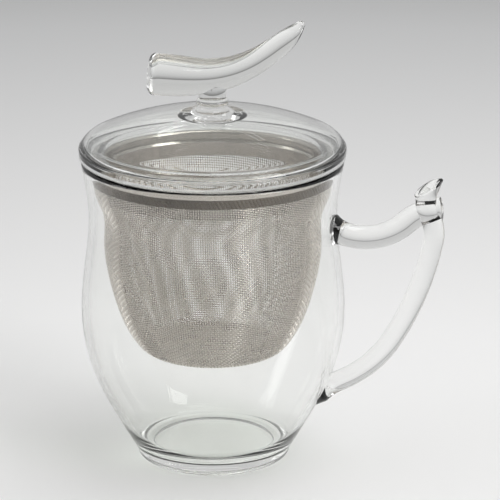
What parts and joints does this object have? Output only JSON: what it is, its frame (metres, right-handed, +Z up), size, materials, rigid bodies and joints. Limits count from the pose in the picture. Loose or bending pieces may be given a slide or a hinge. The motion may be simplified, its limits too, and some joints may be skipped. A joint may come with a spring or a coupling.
{
  "type": "lidded tea mug with infuser",
  "caption": "Clear glass tea mug with a bowed rod handle, a hanging woven steel infuser cup and a loose domed glass lid with a horn-shaped knob.",
  "frame": {"origin": "middle of the foot ring, on the surface that the mug stands on", "axes": "+Z up through the mug's axis, +X from the axis towards the handle"},
  "size_m": [0.1224, 0.089, 0.1495],
  "materials": {
    "clear_glass": "clear fire-polished borosilicate glass, faintly green at thick edges",
    "polished_steel": "bright polished stainless steel",
    "steel_mesh": "fine plain-woven stainless wire mesh, drawn to a cup"
  },
  "bodies": {
    "mug": {"mug_body": "clear_glass", "handle_rod": "clear_glass", "handle_rod_tip": "clear_glass", "handle_arm": "clear_glass", "handle_upper_seat": "clear_glass", "handle_lower_seat": "clear_glass"},
    "infuser": {"infuser_rim_ring": "polished_steel", "infuser_clamp_band": "polished_steel", "infuser_basket": "steel_mesh"},
    "lid": {"lid_dome": "clear_glass", "lid_rim_bead": "clear_glass", "lid_collar": "clear_glass", "knob_button": "clear_glass", "knob_stem": "clear_glass", "knob_horn": "clear_glass"}
  },
  "joints": [
    {"name": "infuser_lift", "type": "slide", "parent": "mug", "child": "infuser", "axis": [0, 0, 1], "range_m": [0, 0.08]},
    {"name": "lid_lift", "type": "slide", "parent": "infuser", "child": "lid", "axis": [0, 0, 1], "range_m": [0, 0.06]}
  ]
}
